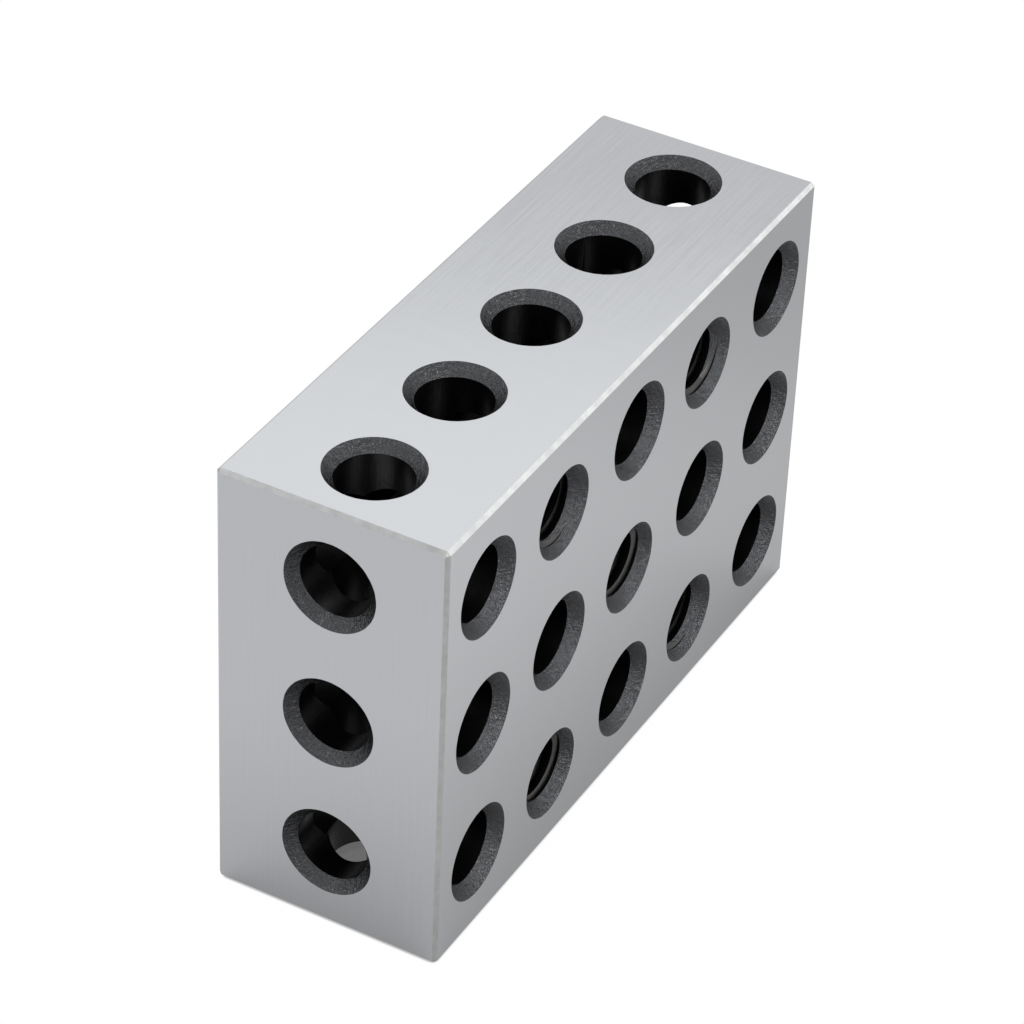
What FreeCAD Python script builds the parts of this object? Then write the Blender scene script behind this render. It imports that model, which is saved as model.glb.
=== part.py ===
import FreeCAD
import Part
import os
import Sketcher

# Machinist setup block, 1 x 2 x 3 in: one piece of hardened, ground steel with
# through bores on all three axes, whose mouths are all countersunk.
# Millimetres. The origin is the middle of the underside, +X runs along the
# length, +Y along the thickness and +Z up the height.

# The driving sizes, each the plain number of one cell of the sheet.
SIZES = {
    "length": 76.2,
    "thickness": 25.4,
    "height": 50.8,
    # Leg of the narrow 45 degree break ground along all twelve edges.
    "edge_break": 0.4,
    # The grid of bore axes: columns along X, rows up Z, and how far the outer
    # ones stand from the ends and from the top and the underside.
    "columns": 5,
    "rows": 3,
    "end_margin": 7.94,
    "edge_margin": 8.98,
    # Plain bores, with wider countersinks on the two big faces than elsewhere.
    "bore_diameter": 7.94,
    "face_sink_diameter": 10.5,
    "side_sink_diameter": 10.2,
    "sink_angle": 90,
    # Bores for M8 x 1.25, at tapping size. They come from a second setting of
    # the block and all stand a little off the grid, towards -X and -Z.
    "tap_drill_diameter": 6.8,
    "tap_sink_diameter": 9.86,
    "tap_shift": 0.38,
}

COLUMN_SPAN = "(sizes.length - 2 * sizes.end_margin)"
ROW_SPAN = "(sizes.height - 2 * sizes.edge_margin)"
HALF_LENGTH = "sizes.length / 2"
HALF_THICKNESS = "sizes.thickness / 2"
HALF_HEIGHT = "sizes.height / 2"


def column_place(column):
    """How far a column of bores stands from the -X end, as a formula."""
    return f"sizes.end_margin + {column} * {COLUMN_SPAN} / (sizes.columns - 1)"


def row_place(row):
    """How high a row of bores stands, as a formula; row 0 is the lowest."""
    return f"sizes.edge_margin + {row} * {ROW_SPAN} / (sizes.rows - 1)"


def is_tapped(column, row):
    """Every second bore of the grid is tapped, apart from the end columns."""
    return 0 < column < SIZES["columns"] - 1 and (column + row) % 2 == 1


def make_sheet(doc):
    """Give each driving size a cell, with its name as the cell's alias."""
    sheet = doc.addObject("Spreadsheet::Sheet", "sizes")
    for line, (name, value) in enumerate(SIZES.items(), start=1):
        sheet.set(f"A{line}", name)
        sheet.set(f"B{line}", str(value))
        sheet.setAlias(f"B{line}", name)
    doc.recompute()


def origin_item(body, role):
    """One of the body's own origin planes or axes, such as XY_Plane."""
    return next(item for item in body.Origin.OriginFeatures if item.Role == role)


def attach(item, body, role, across="0", up="0", out="0"):
    """Lay a sketch or plane on an origin plane, shifted in that plane's own axes."""
    item.AttachmentSupport = (origin_item(body, role), [""])
    item.MapMode = "FlatFace"
    for axis, formula in zip("xyz", (across, up, out)):
        item.setExpression(f"AttachmentOffset.Base.{axis}", formula)


def constrain(sketch, formula, *terms):
    """Add a dimension to the sketch whose value is a formula of the sizes."""
    index = sketch.addConstraint(Sketcher.Constraint(*terms, 1.0))
    sketch.setExpression(f"Constraints[{index}]", formula)


def add_footprint(body):
    """The block's footprint, a rectangle centred on the origin."""
    sketch = body.newObject("Sketcher::SketchObject", "footprint")
    attach(sketch, body, "XY_Plane")
    corners = [FreeCAD.Vector(x, y, 0) for x, y in ((-1, -1), (1, -1), (1, 1), (-1, 1))]
    for index, corner in enumerate(corners):
        sketch.addGeometry(Part.LineSegment(corner, corners[(index + 1) % 4]), False)
    for index, level in enumerate(("Horizontal", "Vertical") * 2):
        sketch.addConstraint(Sketcher.Constraint("Coincident", index, 2, (index + 1) % 4, 1))
        sketch.addConstraint(Sketcher.Constraint(level, index))
    sketch.addConstraint(Sketcher.Constraint("Symmetric", 0, 1, 1, 2, -1, 1))
    constrain(sketch, "sizes.length", "DistanceX", 0, 1, 0, 2)
    constrain(sketch, "sizes.thickness", "DistanceY", 1, 1, 1, 2)
    return sketch


def add_block(doc, body):
    """The block before boring, with its twelve edges broken."""
    pad = body.newObject("PartDesign::Pad", "blank")
    pad.Profile = add_footprint(body)
    pad.setExpression("Length", "sizes.height")
    doc.recompute()
    breaks = body.newObject("PartDesign::Chamfer", "edge_breaks")
    breaks.Base = (pad, [f"Edge{number + 1}" for number in range(len(pad.Shape.Edges))])
    breaks.setExpression("Size", "sizes.edge_break")


def add_bores(doc, body, name, corner, places, diameter, sink):
    """Bore through from one face, with a countersink at each near mouth.

    corner is the origin plane and the shift of the face's lower left corner in
    it. A place is the distances across and up from that corner, as formulas.
    """
    sketch = body.newObject("Sketcher::SketchObject", f"{name}_places")
    attach(sketch, body, *corner)
    for across, up in places:
        index = sketch.addGeometry(Part.Circle(), False)
        constrain(sketch, diameter, "Diameter", index)
        constrain(sketch, across, "DistanceX", -1, 1, index, 3)
        constrain(sketch, up, "DistanceY", -1, 1, index, 3)
    doc.recompute()
    hole = body.newObject("PartDesign::Hole", f"{name}_bores")
    hole.Profile = sketch
    hole.ThreadType = "None"
    hole.DepthType = "ThroughAll"
    hole.HoleCutType = "Countersink"
    hole.setExpression("Diameter", diameter)
    hole.setExpression("HoleCutDiameter", sink)
    hole.setExpression("HoleCutCountersinkAngle", "sizes.sink_angle")
    doc.recompute()
    return hole


def add_far_mouths(doc, body, name, hole, plane):
    """Mirror the bores, which countersinks their mouths on the far face."""
    mirror = body.newObject("PartDesign::Mirrored", f"{name}_far_mouths")
    mirror.Originals = [hole]
    mirror.MirrorPlane = (plane, [""])
    body.Tip = mirror
    doc.recompute()


def add_row(doc, body, name, hole, plane, axis, span, count):
    """Repeat one bore along an axis, and mirror the row for its far mouths."""
    pattern = body.newObject("PartDesign::LinearPattern", f"{name}_pattern")
    pattern.Direction = (origin_item(body, axis), [""])
    pattern.setExpression("Length", span)
    pattern.setExpression("Occurrences", count)
    mirror = body.newObject("PartDesign::Mirrored", f"{name}_mirror")
    mirror.MirrorPlane = (plane, [""])
    row = body.newObject("PartDesign::MultiTransform", f"{name}_row")
    row.Originals = [hole]
    row.Transformations = [pattern, mirror]
    body.Tip = row
    doc.recompute()


def bore_big_faces(doc, body):
    """The grid of bores along Y, most of them plain and the rest for tapping."""
    front = ("XZ_Plane", f"-{HALF_LENGTH}", "0", HALF_THICKNESS)
    middle = origin_item(body, "XZ_Plane")
    grid = [(column, row) for row in range(SIZES["rows"]) for column in range(SIZES["columns"])]
    plain = [(column_place(i), row_place(j)) for i, j in grid if not is_tapped(i, j)]
    tapped = [
        (f"{column_place(i)} - sizes.tap_shift", f"{row_place(j)} - sizes.tap_shift")
        for i, j in grid
        if is_tapped(i, j)
    ]
    sets = (
        ("plain", plain, "sizes.bore_diameter", "sizes.face_sink_diameter"),
        ("tapped", tapped, "sizes.tap_drill_diameter", "sizes.tap_sink_diameter"),
    )
    for name, places, diameter, sink in sets:
        hole = add_bores(doc, body, name, front, places, diameter, sink)
        add_far_mouths(doc, body, name, hole, middle)


def bore_narrow_faces(doc, body):
    """The row of bores down Z, one for each column of the grid."""
    middle = body.newObject("PartDesign::Plane", "mid_height")
    attach(middle, body, "XY_Plane", out=HALF_HEIGHT)
    top = ("XY_Plane", f"-{HALF_LENGTH}", f"-{HALF_THICKNESS}", "sizes.height")
    first = [(column_place(0), HALF_THICKNESS)]
    sizes = ("sizes.bore_diameter", "sizes.side_sink_diameter")
    hole = add_bores(doc, body, "upright", top, first, *sizes)
    add_row(doc, body, "upright", hole, middle, "X_Axis", COLUMN_SPAN, "sizes.columns")


def bore_ends(doc, body):
    """The row of bores along X, one for each row of the grid."""
    middle = origin_item(body, "YZ_Plane")
    end = ("YZ_Plane", f"-{HALF_THICKNESS}", "0", HALF_LENGTH)
    first = [(HALF_THICKNESS, row_place(0))]
    sizes = ("sizes.bore_diameter", "sizes.side_sink_diameter")
    hole = add_bores(doc, body, "lengthwise", end, first, *sizes)
    add_row(doc, body, "lengthwise", hole, middle, "Z_Axis", ROW_SPAN, "sizes.rows")


def check(doc, body):
    """Stop if a feature failed, or if the result isn't one valid solid."""
    for item in doc.Objects:
        if {"Invalid", "Error"} & set(item.State):
            raise RuntimeError(f"{item.Name} failed: {item.State}")
    shape = body.Shape
    if shape.isNull() or not shape.isValid() or len(shape.Solids) != 1:
        raise RuntimeError(f"{body.Label} is not one valid solid")


def main():
    doc = FreeCAD.newDocument("setup_block")
    make_sheet(doc)
    body = doc.addObject("PartDesign::Body", "block")
    body.Label = "setup_block"
    add_block(doc, body)
    bore_big_faces(doc, body)
    bore_narrow_faces(doc, body)
    bore_ends(doc, body)
    doc.recompute()
    check(doc, body)
    os.makedirs("parts", exist_ok=True)
    body.Shape.exportStep(f"parts/{body.Label}.step")
    box = body.Shape.BoundBox
    print(f"{body.Label}: {body.Shape.Volume:.1f} mm3, {len(body.Shape.Faces)} faces,")
    print(f"  x {box.XMin:.3f} {box.XMax:.3f} y {box.YMin:.3f} {box.YMax:.3f}", end=" ")
    print(f"z {box.ZMin:.3f} {box.ZMax:.3f}")


main()
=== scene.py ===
"""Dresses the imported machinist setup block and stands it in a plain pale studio.

The block is one piece of hardened steel. Its six faces and twelve edge breaks
are ground bright after hardening, and its bores and countersinks keep the dark
scale of the furnace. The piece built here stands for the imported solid, with the
same faces and bores, and adds the threads of the tapped bores and the marks that
the countersink, the tap and the grinding wheel leave.
"""

import logging
import math
from dataclasses import dataclass
from enum import Enum

import bmesh
import bpy
from mathutils import Matrix, Vector, noise


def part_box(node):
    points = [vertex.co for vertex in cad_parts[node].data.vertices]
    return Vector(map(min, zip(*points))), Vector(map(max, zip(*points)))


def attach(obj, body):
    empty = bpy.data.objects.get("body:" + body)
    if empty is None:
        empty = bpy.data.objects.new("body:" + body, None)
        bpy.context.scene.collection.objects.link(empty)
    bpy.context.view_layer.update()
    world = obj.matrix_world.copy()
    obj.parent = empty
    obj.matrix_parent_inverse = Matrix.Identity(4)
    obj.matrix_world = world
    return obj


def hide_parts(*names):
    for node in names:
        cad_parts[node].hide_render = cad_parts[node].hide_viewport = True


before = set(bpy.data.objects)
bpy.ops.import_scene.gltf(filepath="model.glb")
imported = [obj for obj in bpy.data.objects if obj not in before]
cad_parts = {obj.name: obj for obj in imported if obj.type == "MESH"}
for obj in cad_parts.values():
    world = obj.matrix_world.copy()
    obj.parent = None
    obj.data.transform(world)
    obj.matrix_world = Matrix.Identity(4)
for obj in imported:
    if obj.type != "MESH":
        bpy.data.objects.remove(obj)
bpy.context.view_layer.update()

LOG = logging.getLogger("setup_block")
MM = 0.001
BLOCK_NODE = "setup_block"
GRAIN_MAP = "grain"
TURN_MAP = "turn"
# Nearly all the values of a noise texture lie between these two.
NOISE_LOW = 0.3
NOISE_HIGH = 0.7


class Face(Enum):
    """The material slots of the block, in the order that its mesh has them."""

    GROUND = 0
    EDGE = 1
    SINK = 2
    WALL = 3
    THREAD = 4


class Run(Enum):
    """The three ways a bore runs, each as its own (u, v, w) axes in the block.

    w goes from the mouth inwards, and u, v and w are right-handed, so that a
    right-hand helix in a bore's own axes is right-hand in the block too.
    """

    THROUGH = ((1, 0, 0), (0, 0, -1), (0, 1, 0))
    UPRIGHT = ((1, 0, 0), (0, -1, 0), (0, 0, -1))
    LENGTHWISE = ((0, 1, 0), (0, 0, 1), (1, 0, 0))

    def turned(self, origin: Vector) -> Matrix:
        """The matrix that takes a bore's own axes to the block's, with its mouth at origin."""
        turn = Matrix([Vector(axis) for axis in self.value]).transposed().to_4x4()
        return Matrix.Translation(origin) @ turn


@dataclass(frozen=True)
class Thread:
    """A right-hand 60 degree thread cut by a tap, in millimetres."""

    major_radius: float = 4.0
    pitch: float = 1.25
    flank_angle: float = 30.0
    # An eighth of the pitch.
    root_flat: float = 0.156
    # How far the groove's section reaches into the open bore.
    overlap: float = 0.12
    # Turns that the groove runs on before the first mouth and after the last.
    lead_turns: int = 2
    tail_turns: int = 1
    steps_a_turn: int = 64
    merge_distance: float = 1e-4

    def cutter(self, bore_radius: float, length: float, crest_at: float) -> bmesh.types.BMesh:
        """Sweeps the groove's section along its helix.

        Args:
            bore_radius: the drilled radius that the crests are left at.
            length: how long the bore is from mouth to mouth.
            crest_at: how deep a crest lies below the mouth on the +u side.

        Returns:
            A closed helical solid in the bore's own axes, in millimetres.
        """
        inner = bore_radius - self.overlap
        slope = math.tan(math.radians(self.flank_angle))
        half_root = self.root_flat / 2
        half_mouth = half_root + (self.major_radius - inner) * slope
        turns = math.ceil(length / self.pitch) + self.lead_turns + self.tail_turns
        start = (crest_at + self.pitch / 2) % self.pitch - self.lead_turns * self.pitch
        section = [
            (inner, -half_mouth),
            (self.major_radius, -half_root),
            (self.major_radius, half_root),
            (inner, half_mouth),
        ]
        made = bmesh.new()
        corners = [made.verts.new((r, 0, start + w)) for r, w in section]
        for place, corner in enumerate(corners):
            made.edges.new((corner, corners[place - 1]))
        bmesh.ops.spin(
            made,
            geom=made.verts[:] + made.edges[:],
            cent=(0, 0, 0),
            axis=(0, 0, 1),
            dvec=(0, 0, self.pitch / self.steps_a_turn),
            angle=2 * math.pi,
            steps=self.steps_a_turn,
            use_merge=False,
            use_duplicate=False,
        )
        one_turn = made.verts[:] + made.edges[:] + made.faces[:]
        for turn in range(1, turns):
            copied = bmesh.ops.duplicate(made, geom=one_turn)["geom"]
            bmesh.ops.translate(
                made, vec=(0, 0, turn * self.pitch),
                verts=[part for part in copied if isinstance(part, bmesh.types.BMVert)])
        bmesh.ops.remove_doubles(made, verts=made.verts, dist=self.merge_distance)
        ends = [edge for edge in made.edges if edge.is_boundary]
        bmesh.ops.holes_fill(made, edges=ends, sides=len(section))
        bmesh.ops.recalc_face_normals(made, faces=made.faces)
        return made


@dataclass(frozen=True)
class Bore:
    """One bore from face to face with a 90 degree countersink at both mouths, in millimetres."""

    number: int
    run: Run
    mouth: Vector
    length: float
    radius: float
    rim_radius: float
    crest_at: float | None = None
    steps: int = 112
    # How far the cutter stands out of both mouths.
    proud: float = 0.3
    sink_rings: int = 5
    # The waver of a countersink: its height, how quickly it changes round and
    # down the bore, and how far apart two bores lie in its noise.
    chatter: float = 0.02
    chatter_round: float = 9.0
    chatter_down: float = 0.8
    chatter_apart: float = 17.0
    # What the turn map adds past the middle and for each bore, so that no two
    # mouths are marked alike.
    far_mark: float = 20.0
    bore_mark: float = 40.0
    merge_distance: float = 1e-5
    wall_slack: float = 1e-4
    sink_slack: float = 1e-3

    @property
    def sink_depth(self) -> float:
        """How deep the countersink goes."""
        return self.rim_radius - self.radius

    def cutter(self) -> bmesh.types.BMesh:
        """Spins the bore's half section into the solid that the bore takes away.

        Returns:
            A closed solid in the bore's own axes, in millimetres.
        """
        made = bmesh.new()
        outline = [(0.0, -self.proud)]
        for ring in range(self.sink_rings + 2):
            depth = -self.proud + (self.sink_depth + self.proud) * ring / (self.sink_rings + 1)
            outline.append((self.rim_radius - depth, depth))
        outline += [(r, self.length - w) for r, w in reversed(outline)]
        corners = [made.verts.new((r, 0, w)) for r, w in outline]
        for start, end in zip(corners, corners[1:]):
            made.edges.new((start, end))
        bmesh.ops.spin(
            made,
            geom=made.verts[:] + made.edges[:],
            cent=(0, 0, 0),
            axis=(0, 0, 1),
            angle=2 * math.pi,
            steps=self.steps,
            use_merge=True,
            use_duplicate=False,
        )
        bmesh.ops.remove_doubles(made, verts=made.verts, dist=self.merge_distance)
        bmesh.ops.recalc_face_normals(made, faces=made.faces)
        self.roughen(made)
        return made

    def roughen(self, made: bmesh.types.BMesh) -> None:
        """Gives the countersinks the slight waver that a chattering tool leaves on the rim.

        Args:
            made: the bore's cutter, in the bore's own axes.
        """
        for corner in made.verts:
            across = Vector((corner.co.x, corner.co.y, 0))
            if across.length < self.radius + self.wall_slack:
                continue
            down = self.chatter_down * corner.co.z + self.chatter_apart * self.number
            place = across.normalized() * self.chatter_round + Vector((0, 0, down))
            corner.co += across.normalized() * self.chatter * noise.noise(place)

    def marked(self, made: bmesh.types.BMesh, inner: Face) -> bmesh.types.BMesh:
        """Tells each face of a cutter what it cuts, and each corner where it is round the bore.

        Args:
            made: the cutter, in the bore's own axes.
            inner: what the faces inside the countersinks are.

        Returns:
            The same cutter, moved to the block's axes.
        """
        turn = made.loops.layers.float_vector.new(TURN_MAP)
        for face in made.faces:
            middle = face.calc_center_median()
            depth = min(middle.z, self.length - middle.z)
            on_sink = inner is Face.WALL and depth < self.sink_depth - self.sink_slack
            face.material_index = (Face.SINK if on_sink else inner).value
            face.smooth = True
            for loop in face.loops:
                place = loop.vert.co
                across = Vector((place.x, place.y, 0)).normalized()
                deep = min(place.z, self.length - place.z)
                far = self.far_mark if place.z > self.length / 2 else 0.0
                loop[turn] = (across.x, across.y, deep + far + self.bore_mark * self.number)
        made.transform(self.run.turned(self.mouth))
        return made


def linear(colour: str) -> tuple[float, float, float, float]:
    """Turns an sRGB hex colour into the linear one that a shader takes.

    Args:
        colour: six hex digits after a hash.

    Returns:
        Linear red, green and blue, and an alpha of 1.
    """
    parts = [int(colour[i:i + 2], 16) / 255 for i in (1, 3, 5)]
    return (*((c / 12.92 if c <= 0.04045 else ((c + 0.055) / 1.055) ** 2.4) for c in parts), 1.0)


def add_node(
    tree: bpy.types.NodeTree, kind: str, sockets: dict | None = None, **settings
) -> bpy.types.Node:
    """Adds a node, sets its properties, and fills or links its sockets.

    Args:
        tree: the material's or world's node tree.
        kind: the node's type.
        sockets: what each input takes, a value or another node's output.
        settings: the node's own properties.

    Returns:
        The new node.
    """
    made = tree.nodes.new(kind)
    for name, value in settings.items():
        setattr(made, name, value)
    for name, value in (sockets or {}).items():
        if isinstance(value, bpy.types.NodeSocket):
            tree.links.new(value, made.inputs[name])
        else:
            made.inputs[name].default_value = value
    return made


def new_material(name: str) -> tuple[bpy.types.Material, bpy.types.NodeTree]:
    """Makes an empty node material.

    Args:
        name: the material's name.

    Returns:
        The material and its node tree.
    """
    material = bpy.data.materials.new(name)
    material.use_nodes = True
    material.node_tree.nodes.clear()
    return material, material.node_tree


@dataclass(frozen=True)
class GroundSteel:
    """Hardened tool steel, surface ground.

    It is bright but no mirror: fine parallel lines smear what it reflects, and
    the chatter of the grinding wheel leaves faint soft bands. Lengths are in mm.
    """

    name: str = "ground_tool_steel"
    colour: str = "#b4b6b9"
    roughness: float = 0.17
    roughness_spread: float = 0.03
    shade_spread: float = 0.015
    along_the_lines: float = 1.0
    # Real grinding lines lie some hundredths of a millimetre apart, which is too
    # fine to show, so they are drawn coarser.
    line_spacing: float = 0.3
    line_length: float = 12.0
    line_height: float = 0.004
    line_strength: float = 0.2
    chatter_spacing: float = 3.0
    chatter_stretch: float = 4.0
    chatter_height: float = 0.02
    chatter_strength: float = 0.35

    def material(self) -> bpy.types.Material:
        """Builds the finish, whose map has u across the grinding lines and v along them, in mm.

        Returns:
            The material.
        """
        material, tree = new_material(self.name)
        grain = add_node(tree, "ShaderNodeUVMap", uv_map=GRAIN_MAP).outputs["UV"]
        lines = add_node(tree, "ShaderNodeMapping", {
            "Vector": grain, "Scale": (1 / self.line_spacing, 1 / self.line_length, 1)})
        line = add_node(tree, "ShaderNodeTexNoise", {
            "Vector": lines.outputs[0], "Scale": 1.0, "Detail": 3.0, "Roughness": 0.6},
            noise_dimensions="2D")
        bands = add_node(tree, "ShaderNodeMapping", {
            "Vector": grain,
            "Scale": (1 / (self.chatter_stretch * self.chatter_spacing), 1 / self.chatter_spacing, 1)})
        band = add_node(tree, "ShaderNodeTexNoise", {
            "Vector": bands.outputs[0], "Scale": 1.0, "Detail": 2.0, "Roughness": 0.5},
            noise_dimensions="2D")
        wave = add_node(tree, "ShaderNodeBump", {
            "Height": band.outputs[0], "Strength": self.chatter_strength,
            "Distance": self.chatter_height * MM})
        scratch = add_node(tree, "ShaderNodeBump", {
            "Height": line.outputs[0], "Strength": self.line_strength,
            "Distance": self.line_height * MM, "Normal": wave.outputs[0]})
        rough = add_node(tree, "ShaderNodeMapRange", {
            "Value": line.outputs[0], "From Min": NOISE_LOW, "From Max": NOISE_HIGH,
            "To Min": self.roughness - self.roughness_spread,
            "To Max": self.roughness + self.roughness_spread})
        shade = add_node(tree, "ShaderNodeMapRange", {
            "Value": line.outputs[0], "From Min": NOISE_LOW, "From Max": NOISE_HIGH,
            "To Min": 1 - self.shade_spread, "To Max": 1 + self.shade_spread})
        tint = add_node(tree, "ShaderNodeVectorMath", {
            0: linear(self.colour)[:3], 1: shade.outputs[0]}, operation="MULTIPLY")
        along = add_node(tree, "ShaderNodeTangent", direction_type="UV_MAP", uv_map=GRAIN_MAP)
        shader = add_node(tree, "ShaderNodeBsdfPrincipled", {
            "Base Color": tint.outputs[0], "Metallic": 1.0, "Roughness": rough.outputs[0],
            "Anisotropic": self.along_the_lines, "Tangent": along.outputs[0],
            "Normal": scratch.outputs[0]})
        add_node(tree, "ShaderNodeOutputMaterial", {"Surface": shader.outputs[0]})
        return material


@dataclass(frozen=True)
class BrokenEdge:
    """Steel stoned by hand along the edges: narrow, a little duller than the faces, faintly uneven."""

    name: str = "stoned_edge"
    colour: str = "#a2a3a3"
    roughness: float = 0.3
    spot_size: float = 1.2
    shade_spread: float = 0.1

    def material(self) -> bpy.types.Material:
        """Builds the finish.

        Returns:
            The material.
        """
        material, tree = new_material(self.name)
        place = add_node(tree, "ShaderNodeTexCoord").outputs["Object"]
        spots = add_node(tree, "ShaderNodeTexNoise", {
            "Vector": place, "Scale": 1 / (self.spot_size * MM), "Detail": 3.0})
        shade = add_node(tree, "ShaderNodeMapRange", {
            "Value": spots.outputs[0], "From Min": NOISE_LOW, "From Max": NOISE_HIGH,
            "To Min": 1 - self.shade_spread, "To Max": 1 + self.shade_spread})
        tint = add_node(tree, "ShaderNodeVectorMath", {
            0: linear(self.colour)[:3], 1: shade.outputs[0]}, operation="MULTIPLY")
        shader = add_node(tree, "ShaderNodeBsdfPrincipled", {
            "Base Color": tint.outputs[0], "Metallic": 1.0, "Roughness": self.roughness})
        add_node(tree, "ShaderNodeOutputMaterial", {"Surface": shader.outputs[0]})
        return material


@dataclass(frozen=True)
class FurnaceScale:
    """Steel under the thin dark scale of hardening, with the marks of the tool that cut it.

    A chattering tool tears short grooves down the slope and leaves shallow rings
    round it, so what the dark metal reflects is softly mottled. Lengths are in mm.
    """

    name: str
    colour: str
    worn_colour: str
    roughness: float
    groove_depth: float
    groove_width: float = 0.3
    groove_length: float = 0.9
    ring_spacing: float = 0.25
    ring_stretch: float = 3.0
    mean_radius: float = 4.6
    # The groove noise from which the scale starts to wear, and at which it is worn.
    worn_from: float = 0.58
    worn_to: float = 0.75

    def material(self) -> bpy.types.Material:
        """Builds the finish, whose attribute has the place round the bore and the depth.

        Returns:
            The material.
        """
        material, tree = new_material(self.name)
        turn = add_node(tree, "ShaderNodeAttribute", attribute_name=TURN_MAP).outputs["Vector"]
        round_it = self.mean_radius / self.groove_width
        grooves = add_node(tree, "ShaderNodeMapping", {
            "Vector": turn, "Scale": (round_it, round_it, 1 / self.groove_length)})
        groove = add_node(tree, "ShaderNodeTexNoise", {
            "Vector": grooves.outputs[0], "Scale": 1.0, "Detail": 3.0, "Roughness": 0.65})
        rings = add_node(tree, "ShaderNodeMapping", {
            "Vector": turn,
            "Scale": (round_it / self.ring_stretch, round_it / self.ring_stretch, 1 / self.ring_spacing)})
        ring = add_node(tree, "ShaderNodeTexNoise", {
            "Vector": rings.outputs[0], "Scale": 1.0, "Detail": 2.0, "Roughness": 0.6})
        height = add_node(tree, "ShaderNodeMath", {
            0: groove.outputs[0], 1: ring.outputs[0]}, operation="ADD")
        bump = add_node(tree, "ShaderNodeBump", {
            "Height": height.outputs[0], "Strength": 1.0, "Distance": self.groove_depth * MM})
        worn = add_node(tree, "ShaderNodeMapRange", {
            "Value": groove.outputs[0], "From Min": self.worn_from, "From Max": self.worn_to})
        tint = add_node(tree, "ShaderNodeMix", {
            0: worn.outputs[0], 6: linear(self.colour), 7: linear(self.worn_colour)},
            data_type="RGBA")
        shader = add_node(tree, "ShaderNodeBsdfPrincipled", {
            "Base Color": tint.outputs[2], "Metallic": 1.0, "Roughness": self.roughness,
            "Normal": bump.outputs[0]})
        add_node(tree, "ShaderNodeOutputMaterial", {"Surface": shader.outputs[0]})
        return material


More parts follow.
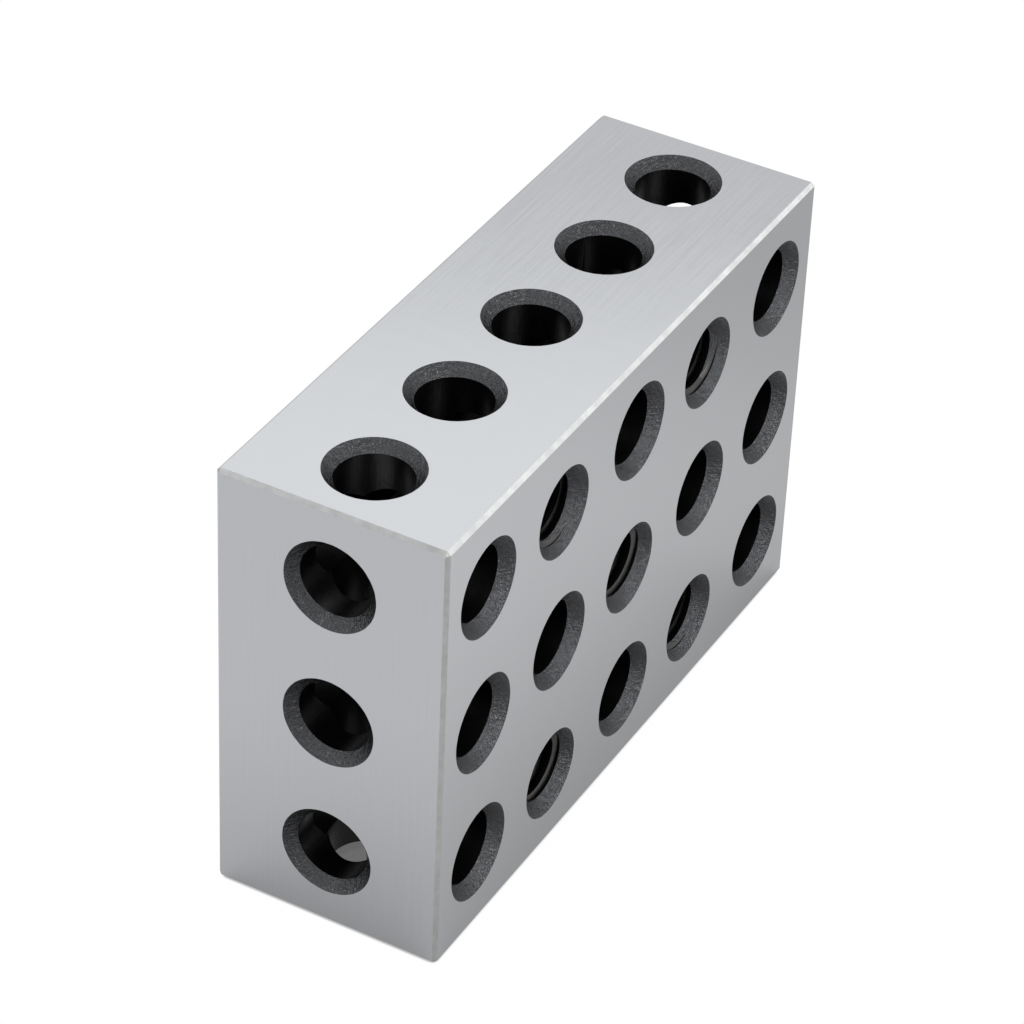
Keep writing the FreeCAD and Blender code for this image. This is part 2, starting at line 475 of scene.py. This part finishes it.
@dataclass
class SetupBlock:
    """The whole block: its blank, its lattice of bores and its finishes, in millimetres."""

    edge_break: float = 0.4
    columns: int = 5
    rows: int = 3
    end_margin: float = 7.94
    edge_margin: float = 8.98
    bore_radius: float = 3.97
    face_rim_radius: float = 5.25
    side_rim_radius: float = 5.1
    tap_drill_radius: float = 3.4
    tap_rim_radius: float = 4.93
    tap_shift: float = 0.38
    sharp_angle: float = 30.0
    # How nearly along an axis the normal of a ground face lies.
    squareness: float = 0.999
    # How far apart the faces lie in the grain map, so that no two have the same
    # lines: from one axis to the next, and from a face to the one opposite.
    grain_apart: float = 200.0
    grain_opposite: float = 90.0

    def __post_init__(self) -> None:
        """Takes the block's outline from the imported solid."""
        low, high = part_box(BLOCK_NODE)
        self.low, self.high = low / MM, high / MM
        self.size = self.high - self.low

    def column(self, number: int) -> float:
        """Where a column of bores stands along X; column 0 is the one at the -X end."""
        span = self.size.x - 2 * self.end_margin
        return self.low.x + self.end_margin + number * span / (self.columns - 1)

    def row(self, number: int) -> float:
        """How high a row of bores stands; row 0 is the lowest."""
        span = self.size.z - 2 * self.edge_margin
        return self.low.z + self.edge_margin + number * span / (self.rows - 1)

    def tap_crests(self) -> dict[tuple[int, int], float]:
        """How deep the first crest lies on the +X side of each tapped bore, keyed by column and row."""
        return {(1, 2): 1.31, (3, 2): 1.51, (2, 1): 1.87, (1, 0): 1.87, (3, 0): 1.29}

    def bores(self) -> list[Bore]:
        """Lists every bore of the lattice.

        Returns:
            The bores along Y row by row, then those along Z, then those along X.
        """
        crests = self.tap_crests()
        made: list[Bore] = []
        for row in range(self.rows):
            for column in range(self.columns):
                tapped = (column, row) in crests
                shift = self.tap_shift if tapped else 0.0
                mouth = Vector((self.column(column) - shift, self.low.y, self.row(row) - shift))
                made.append(Bore(
                    len(made), Run.THROUGH, mouth, self.size.y,
                    self.tap_drill_radius if tapped else self.bore_radius,
                    self.tap_rim_radius if tapped else self.face_rim_radius,
                    crests.get((column, row)),
                ))
        for column in range(self.columns):
            mouth = Vector((self.column(column), 0, self.high.z))
            made.append(Bore(
                len(made), Run.UPRIGHT, mouth, self.size.z, self.bore_radius, self.side_rim_radius))
        for row in range(self.rows):
            mouth = Vector((self.low.x, 0, self.row(row)))
            made.append(Bore(
                len(made), Run.LENGTHWISE, mouth, self.size.x, self.bore_radius, self.side_rim_radius))
        return made

    def blank(self) -> bmesh.types.BMesh:
        """Makes the bar before it is bored, with its edges broken.

        Returns:
            The closed bar, in millimetres.
        """
        made = bmesh.new()
        bmesh.ops.create_cube(made, size=1.0)
        bmesh.ops.scale(made, vec=self.size, verts=made.verts)
        bmesh.ops.translate(made, vec=(self.low + self.high) / 2, verts=made.verts)
        broken = bmesh.ops.bevel(
            made, geom=made.edges[:], offset=self.edge_break, offset_type="OFFSET",
            affect="EDGES", segments=1, profile=0.5, material=-1)
        for face in made.faces:
            flat = max(abs(part) for part in face.normal) > self.squareness
            face.material_index = (Face.GROUND if flat else Face.EDGE).value
        LOG.info("blank: %d faces, %d of them edge breaks", len(made.faces), len(broken["faces"]))
        return made

    def build(self) -> bpy.types.Object:
        """Bores and taps the blank.

        Returns:
            The finished piece, in metres, with its place in its mesh.
        """
        materials = [
            GroundSteel().material(),
            BrokenEdge().material(),
            FurnaceScale(
                name="scaled_countersink", colour="#3d3e40", worn_colour="#5f5d5a", roughness=0.2,
                groove_depth=0.14, groove_width=0.2, groove_length=0.5).material(),
            FurnaceScale(
                name="scaled_bore", colour="#363637", worn_colour="#444444", roughness=0.35,
                groove_depth=0.02).material(),
            FurnaceScale(
                name="tapped_thread", colour="#4c4b4a", worn_colour="#5c5b59", roughness=0.3,
                groove_depth=0.02).material(),
        ]
        piece = self.stand(self.blank(), "block_of_steel", materials)
        for stage in (self.bores_along(Run.THROUGH), self.bores_along(Run.UPRIGHT),
                      self.bores_along(Run.LENGTHWISE), self.threads()):
            self.cut(piece, [self.stand(made, "cutter", materials) for made in stage])
        self.finish_mesh(piece)
        return piece

    def bores_along(self, run: Run) -> list[bmesh.types.BMesh]:
        """The solids of all the bores that run one way, none of which meets another."""
        return [bore.marked(bore.cutter(), Face.WALL) for bore in self.bores() if bore.run is run]

    def threads(self) -> list[bmesh.types.BMesh]:
        """Makes the helical grooves of the tapped bores.

        Returns:
            One closed solid for each of them, in the block's axes.
        """
        thread = Thread()
        return [
            bore.marked(thread.cutter(bore.radius, bore.length, bore.crest_at), Face.THREAD)
            for bore in self.bores() if bore.crest_at is not None
        ]

    @staticmethod
    def stand(
        made: bmesh.types.BMesh, name: str, materials: list[bpy.types.Material]
    ) -> bpy.types.Object:
        """Turns a bmesh into an object of the scene.

        Args:
            made: the bmesh, which is freed.
            name: the object's name.
            materials: the block's materials, in the order of Face.

        Returns:
            The object.
        """
        mesh = bpy.data.meshes.new(name)
        made.to_mesh(mesh)
        made.free()
        for material in materials:
            mesh.materials.append(material)
        piece = bpy.data.objects.new(name, mesh)
        bpy.context.scene.collection.objects.link(piece)
        return piece

    @staticmethod
    def cut(piece: bpy.types.Object, cutters: list[bpy.types.Object]) -> None:
        """Takes cutters away from the piece at once, applies that, and removes them.

        Args:
            piece: the block so far.
            cutters: solids that don't meet each other.
        """
        tools = bpy.data.collections.new("cutters")
        for cutter in cutters:
            tools.objects.link(cutter)
        boolean = piece.modifiers.new("cut", "BOOLEAN")
        boolean.operation = "DIFFERENCE"
        boolean.solver = "MANIFOLD"
        boolean.operand_type = "COLLECTION"
        boolean.collection = tools
        graph = bpy.context.evaluated_depsgraph_get()
        mesh = bpy.data.meshes.new_from_object(piece.evaluated_get(graph))
        piece.modifiers.clear()
        old, piece.data = piece.data, mesh
        bpy.data.meshes.remove(old)
        for cutter in cutters:
            bpy.data.meshes.remove(cutter.data)
        bpy.data.collections.remove(tools)

    def finish_mesh(self, piece: bpy.types.Object) -> None:
        """Maps the ground faces, sets the sharp edges, and brings the mesh to metres.

        Args:
            piece: the bored block, in millimetres.
        """
        made = bmesh.new()
        made.from_mesh(piece.data)
        grain = made.loops.layers.uv.new(GRAIN_MAP)
        for face in made.faces:
            face.smooth = True
            ways = [abs(part) for part in face.normal]
            side = ways.index(max(ways))
            across, along = ((1, 2), (0, 2), (1, 0))[side]
            opposite = self.grain_opposite if face.normal[side] < 0 else 0.0
            shift = self.grain_apart * side + opposite
            for loop in face.loops:
                loop[grain].uv = (loop.vert.co[across] + shift, loop.vert.co[along])
        for edge in made.edges:
            edge.smooth = edge.calc_face_angle(0.0) < math.radians(self.sharp_angle)
        bmesh.ops.scale(made, vec=(MM, MM, MM), verts=made.verts)
        made.to_mesh(piece.data)
        made.free()
        piece.data.name = piece.name = "bored_block"
        LOG.info("block: %d faces, %d triangles", len(piece.data.polygons),
                 sum(len(face.vertices) - 2 for face in piece.data.polygons))

    def dress(self) -> bpy.types.Object:
        """Builds the piece and says what it stands for.

        Returns:
            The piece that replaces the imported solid.
        """
        piece = self.build()
        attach(piece, "root")
        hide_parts(BLOCK_NODE)
        return piece


@dataclass(frozen=True)
class Lamp:
    """One soft lamp that faces the block, with the brightness of its face where white is 1."""

    name: str
    place: tuple[float, float, float]
    width: float
    height: float
    brightness: float
    aim: tuple[float, float, float] = (0.0, 0.0, 0.025)

    def build(self) -> bpy.types.Object:
        """Hangs the lamp, turned to its aim and unseen by the camera.

        Returns:
            The lamp.
        """
        light = bpy.data.lights.new(self.name, "AREA")
        light.shape = "RECTANGLE"
        light.size = self.width
        light.size_y = self.height
        light.energy = self.brightness * math.pi * self.width * self.height
        lamp = bpy.data.objects.new(self.name, light)
        lamp.location = self.place
        lamp.rotation_euler = (Vector(self.aim) - lamp.location).to_track_quat("-Z", "Y").to_euler()
        lamp.visible_camera = False
        bpy.context.scene.collection.objects.link(lamp)
        return lamp


@dataclass(frozen=True)
class Studio:
    """The pale floor, the even light all round, the lamps and the camera; in metres."""

    floor_half: float = 3.0
    # The paper lies a hair under the block, so that their faces don't coincide.
    floor_gap: float = 0.00005
    paper_colour: str = "#f2f2f2"
    fill: float = 0.7
    # The block's shadow is painted into the paper's glow from the share of sky that is
    # open within its reach. It fades over a range of shares, from its darkest level.
    shadow_reach: float = 0.035
    shadow_samples: int = 16
    seen_fade: tuple[float, float] = (0.05, 0.45)
    seen_darkest: float = 0.12
    mirrored_fade: tuple[float, float] = (0.2, 1.0)
    mirrored_darkest: float = 0.3
    # A painted pool of light on the paper, seen only in what the faces mirror, falls off along +X.
    pool_start: float = 0.01
    pool_end: float = 0.10
    pool_edge_level: float = 0.7
    lens: float = 149.7
    sensor: float = 36.0
    nearest: float = 0.01
    farthest: float = 20.0
    camera_place: tuple[float, float, float] = (-0.309905, -0.163500, 0.285877)
    camera_right: tuple[float, float, float] = (0.492122, -0.869799, 0.035568)
    camera_down: tuple[float, float, float] = (-0.503799, -0.317888, -0.803202)
    camera_ahead: tuple[float, float, float] = (0.709931, 0.377354, -0.594644)
    lamps: tuple[Lamp, ...] = (
        Lamp("front_lamp", (-0.10, -0.80, 0.36), 0.42, 0.30, 9.0),
        Lamp("right_lamp", (0.62, -0.52, 0.36), 0.40, 0.36, 1.6),
        Lamp("camera_side_lamp", (-0.58, -0.22, 0.66), 0.34, 0.34, 2.0),
        Lamp("left_lamp", (-0.33, 0.62, 0.50), 0.40, 0.34, 4.0),
        Lamp("back_panel", (0.1771, 0.0930, 0.3592), 0.70, 0.35, 0.50, (0.0, 0.0, 0.3592)),
    )

    def build(self) -> None:
        """Builds the whole studio."""
        self.floor()
        self.surround()
        for lamp in self.lamps:
            lamp.build()
        self.camera()

    def floor(self) -> None:
        """Lays the plain floor, which shows white with the block's shadow painted on it.

        The camera and reflections see it as a glow with a painted shadow, darker where
        little sky is open near the block, and reflections also see a painted pool of light
        that fades along +X; all other light finds plain white paper.
        """
        made = bmesh.new()
        bmesh.ops.create_grid(made, x_segments=1, y_segments=1, size=self.floor_half)
        bmesh.ops.translate(made, vec=(0, 0, -self.floor_gap), verts=made.verts)
        mesh = bpy.data.meshes.new("floor")
        made.to_mesh(mesh)
        made.free()
        floor = bpy.data.objects.new("floor", mesh)
        bpy.context.scene.collection.objects.link(floor)
        material, tree = new_material("white_paper")
        path = add_node(tree, "ShaderNodeLightPath").outputs
        mirrored = add_node(tree, "ShaderNodeMath", {
            0: path["Is Glossy Ray"], 1: path["Is Transmission Ray"]}, operation="MAXIMUM")
        seen = add_node(tree, "ShaderNodeMath", {
            0: path["Is Camera Ray"], 1: mirrored.outputs[0]}, operation="MAXIMUM")
        # Painted shadow: the glow's strength falls where little sky is open near the block.
        open_sky = add_node(tree, "ShaderNodeAmbientOcclusion", {
            "Distance": self.shadow_reach}, samples=self.shadow_samples)
        painted_shadow_seen = add_node(tree, "ShaderNodeMapRange", {
            "Value": open_sky.outputs["AO"],
            "From Min": self.seen_fade[0], "From Max": self.seen_fade[1],
            "To Min": self.seen_darkest, "To Max": 1.0})
        painted_shadow_mirrored = add_node(tree, "ShaderNodeMapRange", {
            "Value": open_sky.outputs["AO"],
            "From Min": self.mirrored_fade[0], "From Max": self.mirrored_fade[1],
            "To Min": self.mirrored_darkest, "To Max": 1.0})
        # Painted pool of light: the mirrored glow dims along +X, and the painted shadow is multiplied in.
        place = add_node(tree, "ShaderNodeTexCoord").outputs["Object"]
        along = add_node(tree, "ShaderNodeSeparateXYZ", {"Vector": place}).outputs["X"]
        painted_light_pool = add_node(tree, "ShaderNodeMapRange", {
            "Value": along, "From Min": self.pool_start, "From Max": self.pool_end,
            "To Min": 1.0, "To Max": self.pool_edge_level}, interpolation_type="SMOOTHSTEP")
        painted_pool_and_shadow = add_node(tree, "ShaderNodeMath", {
            0: painted_shadow_mirrored.outputs[0], 1: painted_light_pool.outputs[0]}, operation="MULTIPLY")
        level = add_node(tree, "ShaderNodeMix", {
            0: mirrored.outputs[0], 2: painted_shadow_seen.outputs[0], 3: painted_pool_and_shadow.outputs[0]})
        paper = add_node(tree, "ShaderNodeBsdfDiffuse", {"Color": linear(self.paper_colour)})
        glow = add_node(tree, "ShaderNodeEmission", {
            "Color": (1, 1, 1, 1), "Strength": level.outputs[0]})
        shown = add_node(tree, "ShaderNodeMixShader", {
            "Fac": seen.outputs[0], 1: paper.outputs[0], 2: glow.outputs[0]})
        below = add_node(tree, "ShaderNodeNewGeometry").outputs["Backfacing"]
        clear = add_node(tree, "ShaderNodeBsdfTransparent")
        one_way = add_node(tree, "ShaderNodeMixShader", {
            "Fac": below, 1: shown.outputs[0], 2: clear.outputs[0]})
        add_node(tree, "ShaderNodeOutputMaterial", {"Surface": one_way.outputs[0]})
        mesh.materials.append(material)

    def surround(self) -> None:
        """Lights the block evenly from all round, against white."""
        world = bpy.data.worlds.new("studio")
        bpy.context.scene.world = world
        world.use_nodes = True
        world.cycles.sampling_method = "NONE"
        tree = world.node_tree
        tree.nodes.clear()
        path = add_node(tree, "ShaderNodeLightPath").outputs
        level = add_node(tree, "ShaderNodeMapRange", {
            "Value": path["Is Diffuse Ray"], "To Min": 1.0, "To Max": self.fill})
        air = add_node(tree, "ShaderNodeBackground", {
            "Color": (1, 1, 1, 1), "Strength": level.outputs[0]})
        add_node(tree, "ShaderNodeOutputWorld", {"Surface": air.outputs[0]})

    def camera(self) -> None:
        """Sets up the camera."""
        lens = bpy.data.cameras.new("camera")
        lens.lens = self.lens
        lens.sensor_width = self.sensor
        lens.clip_start = self.nearest
        lens.clip_end = self.farthest
        camera = bpy.data.objects.new("camera", lens)
        axes = [Vector(self.camera_right), -Vector(self.camera_down), -Vector(self.camera_ahead)]
        turn = Matrix(axes).transposed().to_4x4()
        camera.matrix_world = Matrix.Translation(Vector(self.camera_place)) @ turn
        bpy.context.scene.collection.objects.link(camera)
        bpy.context.scene.camera = camera


def main() -> None:
    """Builds the block and the studio."""
    logging.basicConfig(level=logging.INFO, format="%(message)s")
    piece = SetupBlock().dress()
    LOG.info("%s: built", piece.name)
    Studio().build()
    LOG.info("studio: built")
    bpy.context.scene.view_settings.view_transform = "Standard"


if __name__ == "__main__":
    main()
